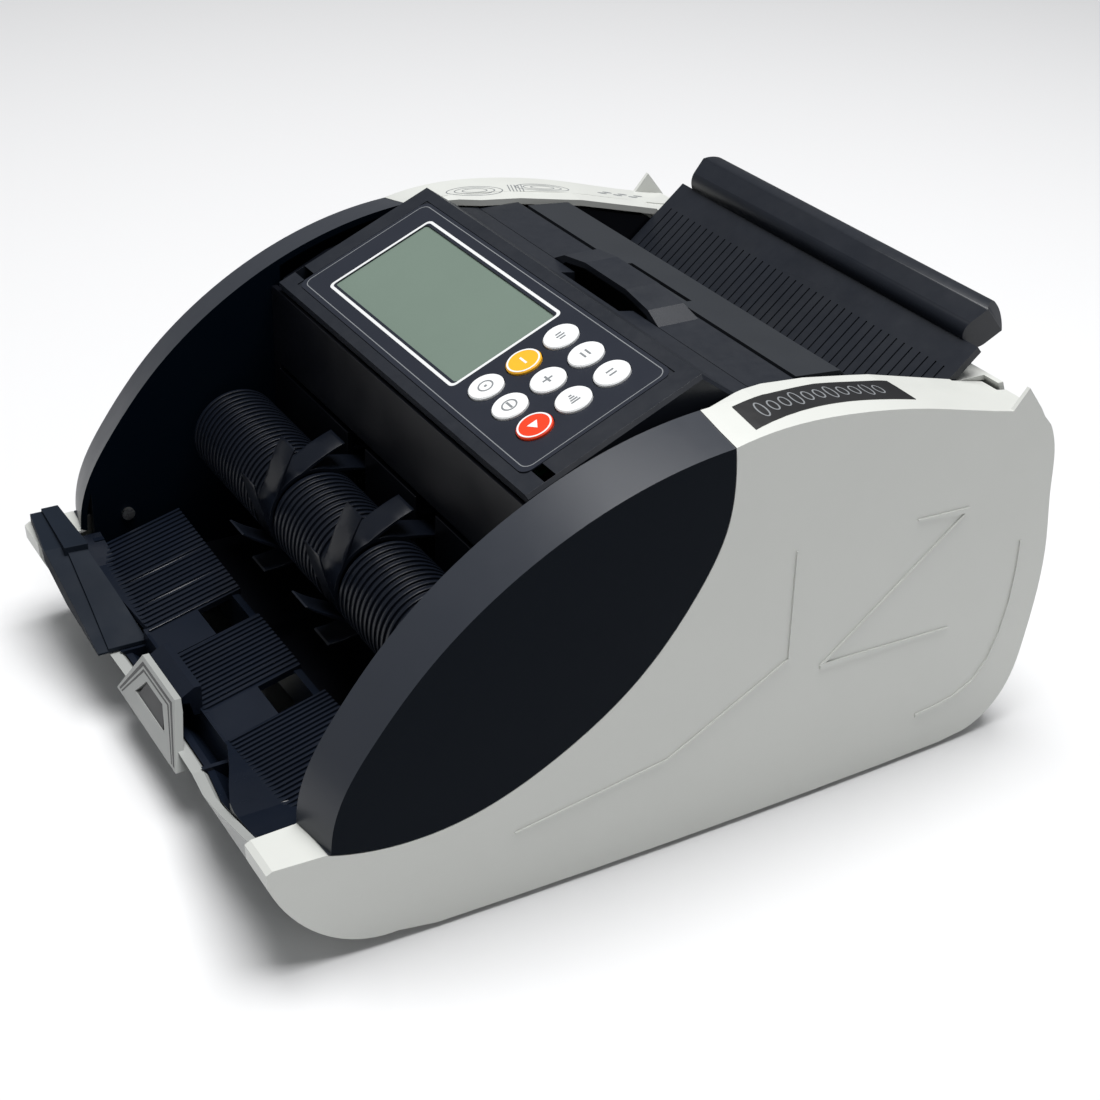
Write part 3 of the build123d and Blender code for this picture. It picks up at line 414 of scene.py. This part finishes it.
def key_icon(piece, number, u, v, top):
    """Plain mark for one key: bars, rings, a cross or an arrow."""
    low, high = top - 0.02, top + 0.07
    marks = {
        1: [(-1.5, 0, 0.35, 1.2), (0, 0, 0.35, 1.7), (1.5, 0, 0.35, 1.2)],
        2: [(0, 1.0, 1.9, 0.35), (0, -1.0, 1.9, 0.35)],
        3: [(-1.1, 0, 0.4, 1.5), (1.1, 0, 0.4, 1.5)],
        4: [(0, 0, 2.2, 0.4)],
        5: [(0, 0, 2.0, 0.4), (0, 1.2, 0.4, 0.8), (0, -1.2, 0.4, 0.8)],
        6: [(-1.9, 0, 0.35, 0.6), (-0.65, 0, 0.35, 1.0), (0.65, 0, 0.35, 1.4), (1.9, 0, 0.35, 1.8)],
        7: [(0, 0, 0.5, 0.5)],
        8: [(0, 0, 2.0, 0.4)],
    }
    for du, dv, half_u, half_v in marks.get(number, []):
        piece.band(*bar_halves(u + du, v + dv, half_u, half_v), low, high)
    if number in (7, 8):
        piece.ring(circle(u, v, 2.9), circle(u, v, 2.3), low, high)
    if number == 9:
        arrow_left = [(u - 1.5, v - 2.0), (u - 1.5, v), (u - 1.5, v + 2.0)]
        arrow_right = [(u - 1.4, v - 2.0), (u + 2.2, v), (u - 1.4, v + 2.0)]
        piece.band(arrow_left, arrow_right, low, high)


def make_keys():
    low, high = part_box("key_1")
    radius = (high.x - low.x) / 2 / MM
    for number in range(1, 10):
        name = "key_%d" % number
        at = node_on_panel(name)
        top = cap_top(name)
        icon = Piece(on_matrix(PANEL))
        key_icon(icon, number, at.x, at.y, top)
        pale = number in (4, 9)
        icon.finish("icon_%d" % number, KEY_WHITE if pale else PRINT_GRAY, name + "_cap")
        if pale:
            rim = Piece(on_matrix(PANEL))
            outer, inner = circle(at.x, at.y, radius - 0.42), circle(at.x, at.y, radius - 1.05)
            rim.ring(outer, inner, top - 0.02, top + 0.06)
            rim.finish("key_rim_%d" % number, KEY_WHITE, name + "_cap")


def cap_top(name):
    """Height of a key's top face above the film."""
    return max(panel_point(v.co).z for v in frame["nodes"][name].data.vertices)


# ---------------------------------------------------------------- printed cover tops
wing_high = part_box("wing_right")[1]
plate_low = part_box("hopper_plate")[0]
TOP_FRONT = wing_high.y / MM + 9.0          # the printed field starts behind the wing
TOP_BACK = plate_low.y / MM + 14.0          # and ends beside the hopper plate
LABEL_INSET = 18.0                          # inner edge at the front, in from the side face
LABEL_SHIFT = 6.5                           # how much further in it runs to the rear
LABEL_WIDTH, LABEL_WIDENING = 13.6, 1.9


def label_edge(y, inner):
    """X of the label's inner or outer edge at a distance along the cover top."""
    t = (y - TOP_FRONT) / (TOP_BACK - TOP_FRONT)
    bend = math.sin(min(1.0, t * 1.4) * math.pi / 2)
    inside = cad_high.x / MM - LABEL_INSET - LABEL_SHIFT * bend
    return inside if inner else inside + LABEL_WIDTH + LABEL_WIDENING * t


def make_cover_label():
    """Dark field on the right cover top with a generic chain of rounded marks."""
    count = 30
    ys = [TOP_FRONT + (TOP_BACK - TOP_FRONT) * i / count for i in range(count + 1)]
    place = draped_on("side_cover_right")
    field = Piece(place)
    field.band([(label_edge(y, True), y) for y in ys], [(label_edge(y, False), y) for y in ys], -0.3, 0.25,
               columns=14)
    field.finish("cover_label", PRINT_DARK)
    marks = Piece(place)
    for i in range(11):
        y = TOP_FRONT + 8.0 + i * 5.2
        middle = (label_edge(y, True) + label_edge(y, False)) / 2
        tall = 3.2 if i % 3 else 4.3
        outer_l, outer_r = oval_halves(middle, y, tall, 1.9)
        inner_l, inner_r = oval_halves(middle, y, tall - 0.6, 1.3)
        marks.ring(outer_l + outer_r[::-1], inner_l + inner_r[::-1], 0.1, 0.34)
    marks.finish("cover_label_marks", PRINT_GRAY)


def make_left_print():
    """Ovals, rings and dashes printed on the left cover top."""
    art = Piece(draped_on("side_cover_left"))
    for x, y, half_x, half_y in ((-107.0, 40.0, 6.0, 13.0), (-110.0, 74.0, 5.0, 13.0)):
        for scale in (1.0, 0.72, 0.45):
            outer = oval_halves(x, y, half_x * scale, half_y * scale)
            inner = oval_halves(x, y, half_x * scale - 0.35, half_y * scale - 0.5)
            art.ring(outer[0] + outer[1][::-1], inner[0] + inner[1][::-1], -0.05, 0.08)
    for i in range(5):
        y = 55.0 + i * 1.6
        art.band([(-104.0, y), (-113.0, y + 3.5)], [(-104.0, y + 0.5), (-113.0, y + 4.0)], -0.05, 0.08,
                 columns=4)
    for i in range(6):
        y = 104.0 + i * 4.0
        art.band(*oval_halves(-110.0 - (i % 2) * 2.4, y, 0.8, 2.4), -0.05, 0.08)
    art.finish("cover_print_left", PRINT_GRAY)


# ---------------------------------------------------------------- nose of the front apron


def draped_front(node_name):
    """Places (x, z) in millimetres on the front of a CAD node, moved forward by the height."""
    node = frame["nodes"][node_name]

    def place(u, v, h):
        start = Vector((u * MM, cad_low.y - 0.05, v * MM))
        hit, where, _, _ = node.ray_cast(start, Vector((0, 1, 0)))
        return where - Vector((0, h * MM, 0)) if hit else start
    return place


def nose_plane():
    """Matrix of the sloping nose face: u across, v up the face, h outward, in millimetres."""
    place = draped_front("base_housing")
    low, high = place(20.0, 22.0, 0.0), place(12.0, 38.0, 0.0)
    up = Vector((0, high.y - low.y, high.z - low.z)).normalized()
    out = X_AXIS.cross(up)
    return Matrix.Translation((0, low.y, low.z)) @ Matrix((X_AXIS, up, out)).transposed().to_4x4()


def make_nose_trim():
    """A dark window of painted shade and two fine lines round the nose."""
    place = on_matrix(nose_plane())
    window = Piece(place)
    # the window is a dark piece of painted shade in the hollow of the nose
    window.band([(-12.6, 4.5), (-7.9, 11.9)], [(12.6, 4.5), (7.9, 11.9)], -1.3, -0.4)
    window.finish("nose_window", PAINTED_SHADE_BLACK)
    lines = Piece(place)
    for inset, width in ((1.5, 1.1), (3.5, 0.7)):
        outer = [(-29.6 + inset * 1.1, -1.6), (-16.0 + inset, 18.4 - inset), (16.0 - inset, 18.4 - inset),
                 (29.6 - inset * 1.1, -1.6)]
        inner = [(-29.6 + (inset + width) * 1.1, -1.6), (-16.0 + inset + width, 18.4 - inset - width),
                 (16.0 - inset - width, 18.4 - inset - width), (29.6 - (inset + width) * 1.1, -1.6)]
        lines.band(outer, inner, -0.1, 0.06)
    lines.finish("nose_lines", PRINT_DARK)


# ---------------------------------------------------------------- stage, light and camera


def make_floor():
    bpy.ops.mesh.primitive_plane_add(size=8.0)
    floor = bpy.context.object
    floor.name = "floor"
    material, shader = new_material("floor_pale")
    shader.inputs["Base Color"].default_value = (0.74, 0.74, 0.745, 1)
    shader.inputs["Roughness"].default_value = 0.9
    shader.inputs["Specular IOR Level"].default_value = 0.1
    floor.data.materials.append(material)


def area_light(name, place, target, size, power):
    data = bpy.data.lights.new(name, "AREA")
    data.shape = "RECTANGLE"
    data.size, data.size_y = size
    data.energy = power
    light = bpy.data.objects.new(name, data)
    bpy.context.collection.objects.link(light)
    light.location = place
    light.rotation_euler = (Vector(target) - Vector(place)).to_track_quat("-Z", "Y").to_euler()


def make_world():
    world = bpy.data.worlds.new("studio")
    world.use_nodes = True
    world.node_tree.nodes["Background"].inputs["Color"].default_value = (0.93, 0.96, 1.0, 1)
    world.node_tree.nodes["Background"].inputs["Strength"].default_value = 0.16
    bpy.context.scene.world = world


CAMERA_PLACE = (0.5453, -0.3197, 0.4244)
CAMERA_ANGLES = (58.27, 30.31, 2.47)      # azimuth, elevation and roll in degrees
SENSOR_WIDTH = 36.0
FOCAL_RATIO = 19.0 / 11.0                 # focal length over sensor width


def make_camera():
    """Stands where the machine is seen from its front right, from above."""
    data = bpy.data.cameras.new("camera")
    data.sensor_width = SENSOR_WIDTH
    data.lens = SENSOR_WIDTH * FOCAL_RATIO
    camera = bpy.data.objects.new("camera", data)
    bpy.context.collection.objects.link(camera)
    azimuth, elevation, roll = map(math.radians, CAMERA_ANGLES)
    back = Vector((math.sin(azimuth) * math.cos(elevation),
                   -math.cos(azimuth) * math.cos(elevation), math.sin(elevation)))
    turn = (-back).to_track_quat("-Z", "Y").to_matrix() @ Matrix.Rotation(roll, 3, "Z")
    camera.matrix_world = Matrix.Translation(CAMERA_PLACE) @ turn.to_4x4()
    bpy.context.scene.camera = camera


paint_parts()
make_panel_print()
make_keys()
make_cover_label()
make_left_print()
make_nose_trim()
soften_edges()
make_floor()
make_world()
area_light("overhead", (0.05, 0.12, 2.0), (0, 0, 0.05), (1.3, 1.3), 57)
area_light("side_light", (1.6, -0.1, 0.7), (0, 0, 0.08), (0.9, 0.9), 1.6)
make_camera()
bpy.context.scene.view_settings.view_transform = "Standard"
